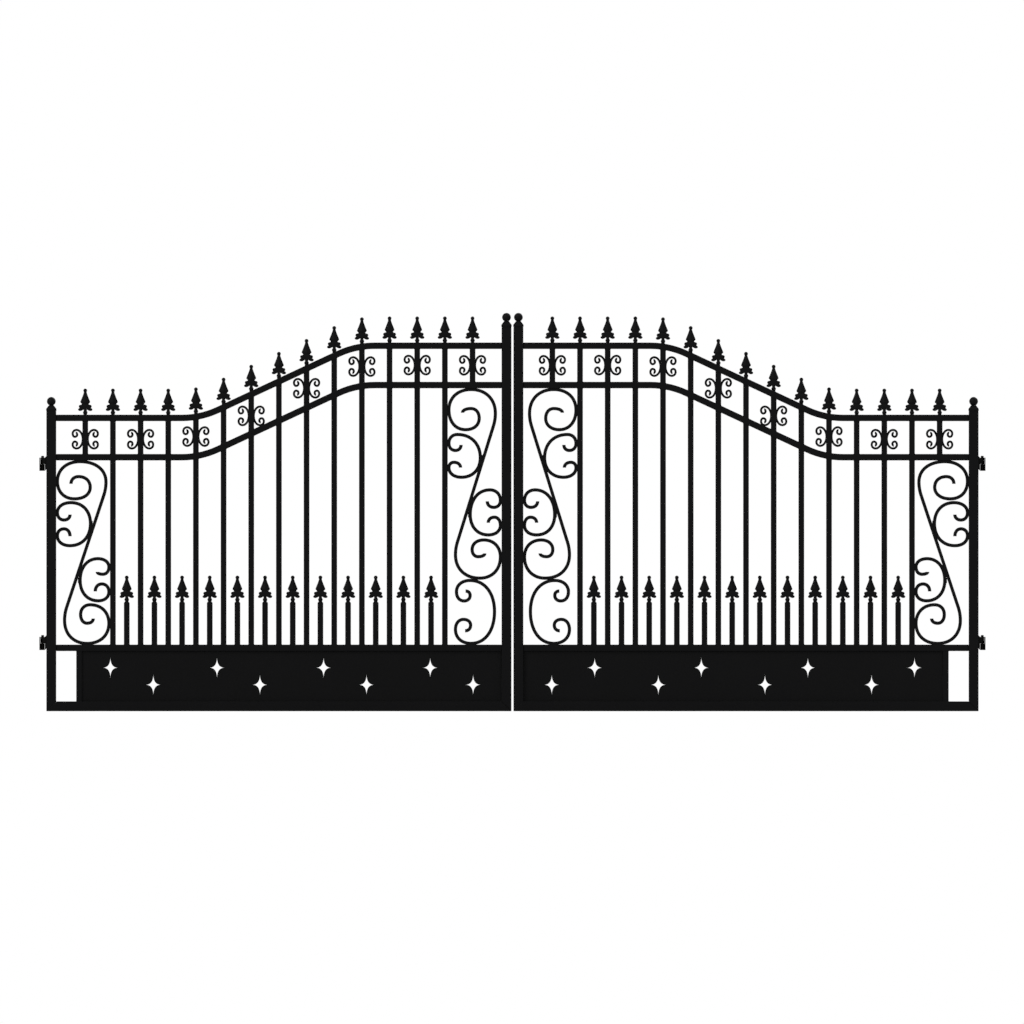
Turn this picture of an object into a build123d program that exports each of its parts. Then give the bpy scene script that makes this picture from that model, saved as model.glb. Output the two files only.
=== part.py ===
from build123d import *
import math
import os

# Pair of wrought iron driveway gates with an ogee top, hung between two piers.
# X runs across the opening, Z is up and the front faces -Y. The leaves open
# inwards, towards +Y. The origin is the middle of the lower left hinge plate,
# on the face that bears on the pier. Sizes are millimetres.

# Opening and leaves
OPENING = 3658.0
LEAF_GAP = 8.0
PIER_GAP = 27.0
HINGE_STILE_RISE = 27.0
MEETING_STILE_RISE = 73.0

# Sections of the bars, all square
STILE = 38.0
RAIL = 25.0
BAR = 22.0
SCROLL_BAR = 13.0
FRIEZE_SCROLL_BAR = 8.5

# Rails, by the height of their middle above the foot of the leaf
MID_RAIL_HEIGHT = 245.0
TOP_RAIL_HEIGHT = 1134.0
FRIEZE_DROP = 152.0
OGEE_START = 486.0
OGEE_RISE = 279.0
OGEE_RADIUS = 330.0
OGEE_SLOPE = math.radians(25.0)

# Upright bars
PICKETS = 13
SIDE_PANEL_BAYS = 2.05
DOG_BAR_LENGTH = 166.0
DOG_BAR_CHAMFER = 4.0

# Kick panel with its pierced stars
FOOT_OPENING = 77.5
SHEET = 3.0
STARS_IN_ROW = 4
STAR_MARGIN = 110.0
STAR_ROW_SHIFT = 83.0
STAR_ROW_RISE = 33.0
STAR_HEIGHT = 79.0
STAR_WIDTH = 57.5
STAR_CORNER_WIDTH = 18.0
STAR_CORNER_HEIGHT = 16.0

# Spear heads
SPEAR_HEIGHT = 101.0
SPEAR_THICKNESS = 15.0
SPEAR_STEM_WIDTH = 14.0
SPEAR_NECK_WIDTH = 11.2
SPEAR_TIP_WIDTH = 56.0
SPEAR_TIP_RISE = 17.0
SPEAR_SHOULDER_WIDTH = 49.0
SPEAR_SHOULDER_RISE = 32.0
SPEAR_WAIST_WIDTH = 27.0
SPEAR_WAIST_RISE = 40.0
SPEAR_BLADE_WIDTH = 39.0
SPEAR_BLADE_RISE = 48.5
SPEAR_BALL_WIDTH = 15.0

# Ball finials on the stiles
CAP_WIDTH = 40.0
CAP_EDGE = 8.0
CAP_SLOPE = 14.0
FINIAL_NECK = 19.0
FINIAL_BALL_RADIUS = 17.0
FINIAL_BALL_FLATS = 12
FINIAL_HEIGHT = 54.0

# Hinges
LOWER_HINGE_HEIGHT = 262.0
UPPER_HINGE_HEIGHT = 955.0
HINGE_HEIGHT = 51.0
PIN_SETBACK = 12.5
PIN_RADIUS = 4.5
PIN_CLEARANCE = 0.1
PIN_END = 7.0
EYE_RADIUS = 8.0
EYE_GAP = 0.3
PLATE = 4.0
PLATE_WIDTH = 64.0
BOLT_SPACING = 44.0
BOLT_HOLE_RADIUS = 4.5
WEB = 10.0
TAB = 8.0
TAB_CLEARANCE = 0.6
TAB_CHAMFER = 6.0

# Scrolls
FACET_DEPTH = 4.5
SCROLL_BEND = 165.0
FRIEZE_SCROLL_REACH = 49.0
FRIEZE_SCROLL_RISE = 36.0
FRIEZE_SCROLL_SEAT = 1.5

# Places that follow from the sizes above, in a leaf with its foot at z = 0
hinge_side = PIER_GAP + STILE
meeting_edge = (OPENING - LEAF_GAP) / 2
meeting_side = meeting_edge - STILE
pitch = (meeting_side - hinge_side) / (PICKETS - 1 + 2 * SIDE_PANEL_BAYS)
mid_rail_top = MID_RAIL_HEIGHT + RAIL / 2
mid_rail_bottom = MID_RAIL_HEIGHT - RAIL / 2
frieze_height = TOP_RAIL_HEIGHT - FRIEZE_DROP
ogee_start = hinge_side + OGEE_START
ogee_bend = 2 * OGEE_RADIUS * (1 - math.cos(OGEE_SLOPE))
ogee_run = 2 * OGEE_RADIUS * math.sin(OGEE_SLOPE) + (OGEE_RISE - ogee_bend) / math.tan(OGEE_SLOPE)
ogee_end = ogee_start + ogee_run
hinge_stile_top = TOP_RAIL_HEIGHT + HINGE_STILE_RISE
meeting_stile_top = TOP_RAIL_HEIGHT + OGEE_RISE + MEETING_STILE_RISE
above_all = meeting_stile_top + SPEAR_HEIGHT
pin_y = STILE / 2
picket_places = [hinge_side + (k + SIDE_PANEL_BAYS) * pitch for k in range(PICKETS)]
frieze_places = [picket_places[0] - pitch, *picket_places, picket_places[-1] + pitch]
dog_bar_places = [x + pitch / 2 for x in picket_places[:-1]]


def slab(outline, thickness):
    """Thicken a front outline evenly to both sides of the leaf's middle plane."""
    return extrude(Plane.XZ * outline, amount=thickness / 2, both=True)


def ogee_edge(height, offset):
    """Edges of a rail line that runs at an offset above its middle line."""
    foot_centre = (ogee_start, height + OGEE_RADIUS)
    crown_centre = (ogee_end, height + OGEE_RISE - OGEE_RADIUS)
    turn = math.degrees(OGEE_SLOPE)
    foot = CenterArc(foot_centre, OGEE_RADIUS - offset, 270, turn)
    crown = CenterArc(crown_centre, OGEE_RADIUS + offset, 90 + turn, -turn)
    start = Line((hinge_side, height + offset), foot @ 0)
    slope = Line(foot @ 1, crown @ 0)
    end = Line(crown @ 1, (meeting_side, height + OGEE_RISE + offset))
    return [start, foot, slope, crown, end]


def ogee_height(x, offset):
    """Height at x of a rail line, above the level start of its middle line."""
    foot = OGEE_RADIUS - offset
    crown = OGEE_RADIUS + offset
    foot_end = ogee_start + foot * math.sin(OGEE_SLOPE)
    crown_start = ogee_end - crown * math.sin(OGEE_SLOPE)
    if x <= ogee_start:
        return offset
    if x < foot_end:
        return OGEE_RADIUS - math.sqrt(foot**2 - (x - ogee_start) ** 2)
    if x <= crown_start:
        return OGEE_RADIUS - foot * math.cos(OGEE_SLOPE) + (x - foot_end) * math.tan(OGEE_SLOPE)
    if x < ogee_end:
        return OGEE_RISE - OGEE_RADIUS + math.sqrt(crown**2 - (ogee_end - x) ** 2)
    return OGEE_RISE + offset


def level_edge(height):
    """One level edge from stile to stile."""
    return [Line((hinge_side, height), (meeting_side, height))]


def region(lower, upper):
    """Front outline between two sets of edges that run from stile to stile."""
    left = Line(lower[0] @ 0, upper[0] @ 0)
    right = Line(lower[-1] @ 1, upper[-1] @ 1)
    return make_face([*lower, right, *upper, left])


def ogee_rail(height):
    """Square rail that follows the ogee."""
    return slab(region(ogee_edge(height, -RAIL / 2), ogee_edge(height, RAIL / 2)), RAIL)


def bars(places, lower, upper):
    """Square bars cut to fit between two sets of edges."""
    blanks = [Pos(x, above_all / 2) * Rectangle(BAR, above_all) for x in places]
    return slab(Sketch() + blanks & region(lower, upper), BAR)


def rectangle(left, right, low, high):
    """Upright rectangle by its four limits."""
    return Pos((left + right) / 2, (low + high) / 2) * Rectangle(right - left, high - low)


def polygon(points):
    """Closed outline through points."""
    return make_face(Polyline(*points, close=True))


def stile(outer, inner, top):
    """Square stile, mitred at its foot from the outer to the inner face."""
    return slab(polygon([(outer, 0), (inner, STILE), (inner, top), (outer, top)]), STILE)


def bottom_rail():
    """Square rail, mitred into both stiles."""
    foot = [(PIER_GAP, 0), (meeting_edge, 0)]
    return slab(polygon([*foot, (meeting_side, STILE), (hinge_side, STILE)]), STILE)


def star(x, z):
    """Four-pointed star."""
    points = []
    for n in range(4):
        tip = math.radians(90 * n)
        corner = math.radians(90 * n + 45)
        points.append((math.cos(tip) * STAR_WIDTH / 2, math.sin(tip) * STAR_HEIGHT / 2))
        across = math.copysign(STAR_CORNER_WIDTH / 2, math.cos(corner))
        up = math.copysign(STAR_CORNER_HEIGHT / 2, math.sin(corner))
        points.append((across, up))
    return Pos(x, z) * polygon(points)


def kick_panel(left):
    """Sheet between the upright and the meeting stile, pierced by two rows of stars."""
    sheet = rectangle(left, meeting_side, STILE, mid_rail_bottom)
    middle_z = (STILE + mid_rail_bottom) / 2
    row_length = meeting_side - left - 2 * (STAR_MARGIN + STAR_ROW_SHIFT)
    stars = []
    for side in (-1, 1):
        row_start = left + STAR_MARGIN + (1 + side) * STAR_ROW_SHIFT
        for n in range(STARS_IN_ROW):
            along = n * row_length / (STARS_IN_ROW - 1)
            stars.append(star(row_start + along, middle_z - side * STAR_ROW_RISE))
    return slab(sheet - stars, SHEET)


def spear(x, z, below):
    """Outline of a spear head with its foot at z, run on below it by a length."""
    profile = [
        (SPEAR_STEM_WIDTH, -below),
        (SPEAR_STEM_WIDTH, SPEAR_TIP_RISE),
        (SPEAR_TIP_WIDTH, SPEAR_TIP_RISE),
        (SPEAR_SHOULDER_WIDTH, SPEAR_SHOULDER_RISE),
        (SPEAR_WAIST_WIDTH, SPEAR_WAIST_RISE),
        (SPEAR_BLADE_WIDTH, SPEAR_BLADE_RISE),
        (SPEAR_NECK_WIDTH, SPEAR_HEIGHT - SPEAR_BALL_WIDTH),
        (SPEAR_BALL_WIDTH, SPEAR_HEIGHT - SPEAR_BALL_WIDTH / 2),
        (SPEAR_BALL_WIDTH / 2, SPEAR_HEIGHT),
    ]
    right = [(width / 2, up) for width, up in profile]
    left = [(-width / 2, up) for width, up in reversed(profile)]
    return Pos(x, z) * polygon(right + left)


def picket_spears():
    """Spear heads standing on the top rail, cut to its slope."""
    feet = [(x, TOP_RAIL_HEIGHT + ogee_height(x, RAIL / 2)) for x in frieze_places]
    blanks = [spear(x, z, SPEAR_STEM_WIDTH / 2) for x, z in feet]
    sky = region(ogee_edge(TOP_RAIL_HEIGHT, RAIL / 2), level_edge(above_all))
    return slab(Sketch() + blanks & sky, SPEAR_THICKNESS)


def dog_bar(x):
    """Half-height bar with a chamfered top."""
    bar = slab(rectangle(x - BAR / 2, x + BAR / 2, mid_rail_top, mid_rail_top + DOG_BAR_LENGTH), BAR)
    return chamfer(bar.faces().sort_by(Axis.Z)[-1].edges(), DOG_BAR_CHAMFER)


def quarter(start, end, plumb, steps):
    """Samples along a quarter ellipse, each a point and a direction.

    The curve leaves start upright if plumb is true, or else level.
    """
    samples = []
    across = end[0] - start[0]
    up = end[1] - start[1]
    for n in range(1, steps + 1):
        turn = math.pi / 2 * n / steps
        rise, run = math.sin(turn), 1 - math.cos(turn)
        if plumb:
            samples.append((start[0] + across * run, start[1] + up * rise, across * rise, up * math.cos(turn)))
        else:
            samples.append((start[0] + across * rise, start[1] + up * run, across * math.cos(turn), up * rise))
    return samples


def facets(start, end):
    """Number of flats that keep a quarter turn within the facet depth."""
    radius = (abs(end[0] - start[0]) + abs(end[1] - start[1])) / 2
    return math.ceil(math.pi / 4 / math.acos(1 - FACET_DEPTH / radius))


def curl(turns, plumb):
    """Samples along a chain of quarter turns between its upright and level places."""
    first = (*turns[0], 0, turns[1][1] - turns[0][1]) if plumb else (*turns[0], turns[1][0] - turns[0][0], 0)
    samples = [first]
    for start, end in zip(turns, turns[1:]):
        samples += quarter(start, end, plumb, facets(start, end))
        plumb = not plumb
    return samples


def diagonal(start, end):
    """Samples of the long stretch of an S, straight between two bends, upright at both ends."""
    across = end[0] - start[0]
    up = end[1] - start[1]
    spare = abs(across) - 2 * SCROLL_BEND
    whole = math.acos(-2 * SCROLL_BEND / math.hypot(spare, up)) - math.atan2(abs(up), spare)
    first, last = [], []
    for turn in (whole / 2, whole):
        bend_x = math.copysign(SCROLL_BEND * (1 - math.cos(turn)), across)
        bend_z = math.copysign(SCROLL_BEND * math.sin(turn), up)
        lean = (math.copysign(math.sin(turn), across), math.copysign(math.cos(turn), up))
        first.append((start[0] + bend_x, start[1] + bend_z, *lean))
        last.append((end[0] - bend_x, end[1] - bend_z, *lean))
    return first + last[::-1]


def ribbon(samples, width):
    """Outline of a bar bent along samples."""
    left, right = [], []
    for x, z, run, rise in samples:
        length = math.hypot(run, rise)
        side_x, side_z = -rise / length * width / 2, run / length * width / 2
        left.append((x + side_x, z + side_z))
        right.append((x - side_x, z - side_z))
    return polygon(left + right[::-1])


class ScrollPanel:
    """Upright panel that the side scrolls fill.

    A place in it is two shares: 0 or 1 across touches the bar at that side, and
    0 or 1 up touches the rail below or above.
    """

    def __init__(self, left, right, low, high):
        self.left = left + SCROLL_BAR / 2
        self.low = low + SCROLL_BAR / 2
        self.width = right - left - SCROLL_BAR
        self.height = high - low - SCROLL_BAR

    def places(self, shares):
        """Real places of a list of shares."""
        return [(self.left + across * self.width, self.low + up * self.height) for across, up in shares]

    def c_scroll(self, shares, plumb=True):
        """C scroll through its turning places."""
        return slab(ribbon(curl(self.places(shares), plumb), SCROLL_BAR), SCROLL_BAR)

    def s_scroll(self, upper, lower):
        """S scroll with an upper and a lower volute, each from its tail outwards."""
        upper_curl = curl(self.places(upper), True)
        lower_curl = curl(self.places(lower), True)
        back = [(x, z, -run, -rise) for x, z, run, rise in reversed(lower_curl)]
        stretch = diagonal(upper_curl[-1][:2], back[0][:2])
        return slab(ribbon(upper_curl + stretch + back, SCROLL_BAR), SCROLL_BAR)


def hinge_side_scrolls():
    """S scroll and two C scrolls beside the hinge stile."""
    panel = ScrollPanel(hinge_side, picket_places[0] - BAR / 2, mid_rail_top, frieze_height - RAIL / 2)
    upper = [(0.26, 0.88), (0.41, 0.92), (0.63, 0.863), (0.33, 0.8), (0, 0.893), (0.44, 1), (0.955, 0.891)]
    lower = [(0.7, 0.135), (0.58, 0.109), (0.45, 0.157), (0.64, 0.21), (1, 0.108), (0.58, 0), (0.137, 0.124)]
    upper_c = [(0.24, 0.71), (0.12, 0.68), (0, 0.72), (0.26, 0.773), (0.625, 0.66)]
    upper_c += [(0.24, 0.54), (0, 0.593), (0.12, 0.63), (0.24, 0.59)]
    lower_c = [(0.78, 0.393), (0.89, 0.38), (1, 0.42), (0.79, 0.464), (0.457, 0.346)]
    lower_c += [(0.8, 0.235), (1, 0.283), (0.87, 0.325), (0.74, 0.285)]
    return panel.s_scroll(upper, lower), Part() + [panel.c_scroll(upper_c), panel.c_scroll(lower_c)]


def meeting_side_scrolls():
    """S scroll and three C scrolls beside the meeting stile."""
    high = frieze_height + OGEE_RISE - RAIL / 2
    panel = ScrollPanel(picket_places[-1] + BAR / 2, meeting_side, mid_rail_top, high)
    upper = [(0.26, 0.914), (0.43, 0.928), (0.59, 0.888), (0.32, 0.844), (0, 0.921), (0.43, 1), (0.91, 0.908)]
    lower = [(0.7, 0.354), (0.57, 0.341), (0.45, 0.369), (0.68, 0.407), (1, 0.34), (0.59, 0.257), (0.12, 0.343)]
    upper_c = [(0.23, 0.783), (0.12, 0.761), (0, 0.789), (0.17, 0.823), (0.59, 0.737)]
    upper_c += [(0.24, 0.656), (0, 0.693), (0.09, 0.714), (0.22, 0.693)]
    lower_c = [(0.75, 0.56), (0.88, 0.536), (1, 0.563), (0.8, 0.604), (0.443, 0.51)]
    lower_c += [(0.77, 0.428), (1, 0.465), (0.89, 0.497), (0.77, 0.475)]
    foot_c = [(0.32, 0.205), (0.41, 0.188), (0.29, 0.166), (0.14, 0.202), (0.4, 0.249), (0.9, 0.122)]
    foot_c += [(0.43, 0), (0.12, 0.053), (0.28, 0.093), (0.42, 0.07), (0.31, 0.048)]
    c_scrolls = [panel.c_scroll(upper_c), panel.c_scroll(lower_c), panel.c_scroll(foot_c, plumb=False)]
    return panel.s_scroll(upper, lower), Part() + c_scrolls


def frieze_scrolls():
    """C scrolls back to back on every other frieze bar, their backs ground flat to seat on it."""
    shares = [(0.65, 0.5), (0.84, 0.28), (1, 0.54), (0.71, 1)]
    upper = [(across * FRIEZE_SCROLL_REACH, up * FRIEZE_SCROLL_RISE) for across, up in shares]
    back = (BAR / 2 - FRIEZE_SCROLL_SEAT, 0)
    lower = [(across, -up) for across, up in reversed(upper)]
    samples = curl([*upper, back, *lower], True)
    right = ribbon(samples, FRIEZE_SCROLL_BAR) - Rectangle(BAR, FRIEZE_DROP)
    pair = Sketch() + [right, mirror(right, about=Plane.YZ)]
    middle = TOP_RAIL_HEIGHT - FRIEZE_DROP / 2
    places = [(x, middle + ogee_height(x, 0)) for x in frieze_places[::2]]
    return slab(Sketch() + [Pos(x, z) * pair for x, z in places], FRIEZE_SCROLL_BAR)


def faceted_ball(radius):
    """Ball of flats, with half as many from foot to top as round its middle."""
    rings = []
    for n in range(1, FINIAL_BALL_FLATS, 2):
        rise = math.pi * (n / FINIAL_BALL_FLATS - 1 / 2)
        height = radius * math.sin(rise) / math.cos(math.pi / FINIAL_BALL_FLATS)
        rings.append(Pos(0, 0, height) * RegularPolygon(radius * math.cos(rise), FINIAL_BALL_FLATS))
    return loft(rings, ruled=True)


def finial(x, top):
    """Ball finial: square cap plate, sloped cap, neck and ball."""
    edge = Pos(0, 0, CAP_EDGE / 2) * Box(CAP_WIDTH, CAP_WIDTH, CAP_EDGE)
    slope_foot = Pos(0, 0, CAP_EDGE) * Rectangle(CAP_WIDTH, CAP_WIDTH)
    slope_top = Pos(0, 0, CAP_EDGE + CAP_SLOPE) * Rectangle(FINIAL_NECK, FINIAL_NECK)
    ball = Pos(0, 0, FINIAL_HEIGHT - FINIAL_BALL_RADIUS) * faceted_ball(FINIAL_BALL_RADIUS)
    return Pos(x, 0, top) * (edge + loft([slope_foot, slope_top]) + ball)


def hinge_eye(height):
    """Eye on the leaf, with the tab that is welded to the hinge stile."""
    top = height + HINGE_HEIGHT / 2
    low = height - HINGE_HEIGHT / 2
    eye_low = height + EYE_GAP
    eye_length = top - eye_low
    tab_edge = PIN_SETBACK + EYE_RADIUS + TAB_CLEARANCE
    outline = [
        (PIN_SETBACK, eye_low),
        (tab_edge, eye_low),
        (tab_edge, low),
        (PIER_GAP, low + TAB_CHAMFER),
        (PIER_GAP, top + TAB_CHAMFER),
        (tab_edge, top),
        (PIN_SETBACK, top),
    ]
    tab = Pos(0, pin_y - TAB / 2) * slab(polygon(outline), TAB)
    middle = Pos(PIN_SETBACK, pin_y, eye_low + eye_length / 2)
    return tab + middle * Cylinder(EYE_RADIUS, eye_length) - middle * Cylinder(PIN_RADIUS + PIN_CLEARANCE, eye_length)


def hinge_bracket(height):
    """Pier bracket: plate with two bolt holes, knuckle, and pin that the leaf lifts off."""
    top = height + HINGE_HEIGHT / 2
    low = height - HINGE_HEIGHT / 2
    knuckle_length = HINGE_HEIGHT / 2
    plate = Pos(PLATE / 2, pin_y, height) * Box(PLATE, PLATE_WIDTH, HINGE_HEIGHT)
    for side in (-1, 1):
        hole = Pos(PLATE / 2, pin_y + side * BOLT_SPACING / 2, height) * Rot(0, 90, 0)
        plate -= hole * Cylinder(BOLT_HOLE_RADIUS, PLATE)
    knuckle_middle = low + knuckle_length / 2
    web = Pos(PIN_SETBACK / 2, pin_y, knuckle_middle) * Box(PIN_SETBACK, WEB, knuckle_length)
    knuckle = Pos(PIN_SETBACK, pin_y, knuckle_middle) * Cylinder(EYE_RADIUS, knuckle_length)
    pin_top = top + PIN_END
    pin = Pos(PIN_SETBACK, pin_y, (height + pin_top) / 2) * Cylinder(PIN_RADIUS, pin_top - height)
    return plate + web + knuckle + pin


def leaf():
    """Every piece that swings with one leaf, by name."""
    upright_left = hinge_side + FOOT_OPENING
    hinge_s, hinge_c = hinge_side_scrolls()
    meeting_s, meeting_c = meeting_side_scrolls()
    dog_bar_top = mid_rail_top + DOG_BAR_LENGTH
    finial_places = [(PIER_GAP + STILE / 2, hinge_stile_top), (meeting_edge - STILE / 2, meeting_stile_top)]
    frieze_top = ogee_edge(frieze_height, RAIL / 2)
    frieze_bottom = ogee_edge(frieze_height, -RAIL / 2)
    top_rail_bottom = ogee_edge(TOP_RAIL_HEIGHT, -RAIL / 2)
    return {
        "hinge_stile": stile(PIER_GAP, hinge_side, hinge_stile_top),
        "meeting_stile": stile(meeting_edge, meeting_side, meeting_stile_top),
        "stile_finials": Part() + [finial(x, top) for x, top in finial_places],
        "top_rail": ogee_rail(TOP_RAIL_HEIGHT),
        "frieze_rail": ogee_rail(frieze_height),
        "mid_rail": slab(rectangle(hinge_side, meeting_side, mid_rail_bottom, mid_rail_top), RAIL),
        "bottom_rail": bottom_rail(),
        "panel_upright": slab(rectangle(upright_left, upright_left + BAR, STILE, mid_rail_bottom), BAR),
        "kick_panel": kick_panel(upright_left + BAR),
        "pickets": bars(picket_places, level_edge(mid_rail_top), frieze_bottom),
        "frieze_bars": bars(frieze_places, frieze_top, top_rail_bottom),
        "dog_bars": Part() + [dog_bar(x) for x in dog_bar_places],
        "picket_spears": picket_spears(),
        "dog_bar_spears": slab(Sketch() + [spear(x, dog_bar_top, 0) for x in dog_bar_places], SPEAR_THICKNESS),
        "frieze_scrolls": frieze_scrolls(),
        "hinge_side_s_scroll": hinge_s,
        "hinge_side_c_scrolls": hinge_c,
        "meeting_side_s_scroll": meeting_s,
        "meeting_side_c_scrolls": meeting_c,
        "hinge_eyes": Part() + [hinge_eye(LOWER_HINGE_HEIGHT), hinge_eye(UPPER_HINGE_HEIGHT)],
    }


def save_pair(name, piece):
    """Write a left piece and its mirror image at the right."""
    placed = Pos(0, -pin_y, -LOWER_HINGE_HEIGHT) * piece
    export_step(placed, f"parts/left_{name}.step")
    export_step(mirror(placed, about=Plane.YZ.offset(OPENING / 2)), f"parts/right_{name}.step")


os.makedirs("parts", exist_ok=True)
for name, piece in leaf().items():
    save_pair(name, piece)
save_pair("hinge_brackets", Part() + [hinge_bracket(LOWER_HINGE_HEIGHT), hinge_bracket(UPPER_HINGE_HEIGHT)])
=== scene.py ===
"""Wrought iron driveway gate, dressed for the photograph: two ogee-topped leaves in satin black paint."""
import logging
import math
from collections.abc import Iterator
from contextlib import contextmanager
from dataclasses import dataclass, field
from enum import Enum

import bpy
from mathutils import Matrix, Vector


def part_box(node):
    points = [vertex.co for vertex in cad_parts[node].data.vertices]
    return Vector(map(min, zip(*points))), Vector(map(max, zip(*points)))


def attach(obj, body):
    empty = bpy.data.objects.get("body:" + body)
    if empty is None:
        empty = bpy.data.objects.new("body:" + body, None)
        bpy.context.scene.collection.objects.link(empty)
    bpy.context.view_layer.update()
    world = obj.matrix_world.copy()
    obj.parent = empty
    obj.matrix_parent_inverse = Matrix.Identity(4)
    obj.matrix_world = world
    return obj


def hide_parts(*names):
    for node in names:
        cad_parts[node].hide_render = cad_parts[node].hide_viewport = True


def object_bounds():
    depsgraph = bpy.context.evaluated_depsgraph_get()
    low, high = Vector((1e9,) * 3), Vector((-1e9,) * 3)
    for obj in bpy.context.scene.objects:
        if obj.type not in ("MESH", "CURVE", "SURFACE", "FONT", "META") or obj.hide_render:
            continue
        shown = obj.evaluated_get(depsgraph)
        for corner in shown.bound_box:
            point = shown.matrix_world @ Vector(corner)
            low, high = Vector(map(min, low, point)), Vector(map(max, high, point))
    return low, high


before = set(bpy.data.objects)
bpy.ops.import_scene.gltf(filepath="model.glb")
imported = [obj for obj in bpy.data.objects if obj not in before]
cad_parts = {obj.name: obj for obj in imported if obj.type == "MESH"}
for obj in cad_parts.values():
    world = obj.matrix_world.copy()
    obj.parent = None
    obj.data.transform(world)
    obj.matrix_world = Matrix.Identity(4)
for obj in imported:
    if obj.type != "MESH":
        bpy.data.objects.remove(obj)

log = logging.getLogger("driveway_gate")

MM = 0.001
SIDES = ("left", "right")
# Corners closer than this are one corner, and corners closer than NEAR stand on one face.
MERGE = 0.01 * MM
NEAR = 0.1 * MM
# Handle of a quarter circle as a share of its radius, and the fuller one of a scroll.
QUARTER_HANDLE = 0.5523
FULL_HANDLE = 0.6
# Thin and thick coats of the paint show as about six patches a metre.
PATCH_MM = 1000 / 6
SHEEN_SPREAD = 0.06
# A noise texture hardly leaves these values.
NOISE_LOW, NOISE_HIGH = 0.3, 0.7
# The photographed black is near flat, so the gloss stays far below that of fresh paint.
SPECULAR = 0.07
CAD_BOX = [list(corner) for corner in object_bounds()]

Knot = tuple[Vector, Vector, Vector]
Triple = tuple[float, float, float]
Shares = list[tuple[float, float]]


class Level(Enum):
    """Which hinge of a leaf."""

    LOWER = 0
    UPPER = 1


def linear(code: str) -> tuple[float, float, float, float]:
    """Linear colour of an sRGB hex code.

    Args:
        code: Six hex digits with a leading hash.

    Returns:
        Red, green, blue and an alpha of one.
    """
    channels = [int(code[n:n + 2], 16) / 255 for n in (1, 3, 5)]
    return (*[c / 12.92 if c <= 0.04045 else ((c + 0.055) / 1.055) ** 2.4 for c in channels], 1.0)


def add_node(tree: bpy.types.NodeTree, kind: str, settings: dict, links: dict) -> bpy.types.Node:
    """Add one node with its settings and links.

    Args:
        tree: Node tree that gets the node.
        kind: Blender's name of the node type.
        settings: Attribute values by name, or socket values by the socket's name or number.
        links: Output sockets by the name or number of the input that they feed.

    Returns:
        The new node.
    """
    node = tree.nodes.new(kind)
    for key, value in settings.items():
        if isinstance(key, str) and hasattr(node, key):
            setattr(node, key, value)
        else:
            node.inputs[key].default_value = value
    for key, output in links.items():
        tree.links.new(output, node.inputs[key])
    return node


@dataclass(frozen=True)
class BlackPaint:
    """Satin black gate paint over one kind of iron, with the surface of that iron showing through.

    The grain is drawn a little coarser than that of the real surface, so that it shows in a close view.
    """

    name: str
    colour: str
    dusty: str
    roughness: float
    grain_mm: float
    grain_depth_mm: float
    wave_mm: float
    wave_depth_mm: float

    def make(self) -> bpy.types.Material:
        """Build the material.

        Returns:
            The painted finish, with its patterns scaled in real millimetres.
        """
        material = bpy.data.materials.new(self.name)
        material.use_nodes = True
        tree = material.node_tree
        tree.nodes.clear()
        where = add_node(tree, "ShaderNodeTexCoord", {}, {}).outputs["Object"]
        sizes = ((self.grain_mm, 3.0), (self.wave_mm, 2.0), (PATCH_MM, 5.0))
        grain, wave, film = (
            add_node(tree, "ShaderNodeTexNoise", {"Scale": 1 / (size * MM), "Detail": detail}, {"Vector": where})
            for size, detail in sizes
        )
        tint = add_node(
            tree,
            "ShaderNodeMix",
            {"data_type": "RGBA", 6: linear(self.colour), 7: linear(self.dusty)},
            {0: film.outputs["Fac"]},
        )
        sheen = add_node(
            tree,
            "ShaderNodeMapRange",
            {
                "From Min": NOISE_LOW,
                "From Max": NOISE_HIGH,
                "To Min": self.roughness - SHEEN_SPREAD,
                "To Max": self.roughness + SHEEN_SPREAD,
            },
            {"Value": film.outputs["Fac"]},
        )
        long_bump = add_node(
            tree,
            "ShaderNodeBump",
            {"Distance": self.wave_depth_mm * MM, "Strength": 1.0},
            {"Height": wave.outputs["Fac"]},
        )
        fine_bump = add_node(
            tree,
            "ShaderNodeBump",
            {"Distance": self.grain_depth_mm * MM, "Strength": 1.0},
            {"Height": grain.outputs["Fac"], "Normal": long_bump.outputs["Normal"]},
        )
        shader = add_node(
            tree,
            "ShaderNodeBsdfPrincipled",
            {"Metallic": 0.0, "IOR": 1.5, "Specular IOR Level": SPECULAR},
            {
                "Base Color": tint.outputs[2],
                "Roughness": sheen.outputs["Result"],
                "Normal": fine_bump.outputs["Normal"],
            },
        )
        add_node(tree, "ShaderNodeOutputMaterial", {}, {"Surface": shader.outputs["BSDF"]})
        return material


# Rolled box section under brushed alkyd paint: nearly flat, with the faint drag of the brush.
BAR_PAINT = BlackPaint("satin_black_on_rolled_bar", "#060607", "#0b0b0c", 0.46, 2.2, 0.05, 60, 0.1)
# Sand-cast iron under the same paint: a fine pebble that the paint softens but doesn't hide.
CASTING_PAINT = BlackPaint("satin_black_on_sand_casting", "#060607", "#0d0d0e", 0.52, 1.1, 0.12, 9, 0.2)
# Bar bent hot over a scroll former: shallow hammer flats along it.
SCROLL_PAINT = BlackPaint("satin_black_on_forged_bar", "#060607", "#0c0c0d", 0.48, 1.6, 0.08, 14, 0.35)
# Cold-rolled sheet: smooth, with long shallow waves from the heat of the welds.
SHEET_PAINT = BlackPaint("satin_black_on_sheet", "#060606", "#0b0b0c", 0.44, 2.0, 0.04, 120, 0.6)
# Hinge iron: thicker paint over turned and sawn faces, with a trace of grease.
HINGE_PAINT = BlackPaint("greased_black_on_hinge_iron", "#070707", "#100f0d", 0.38, 1.2, 0.06, 20, 0.1)


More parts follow.
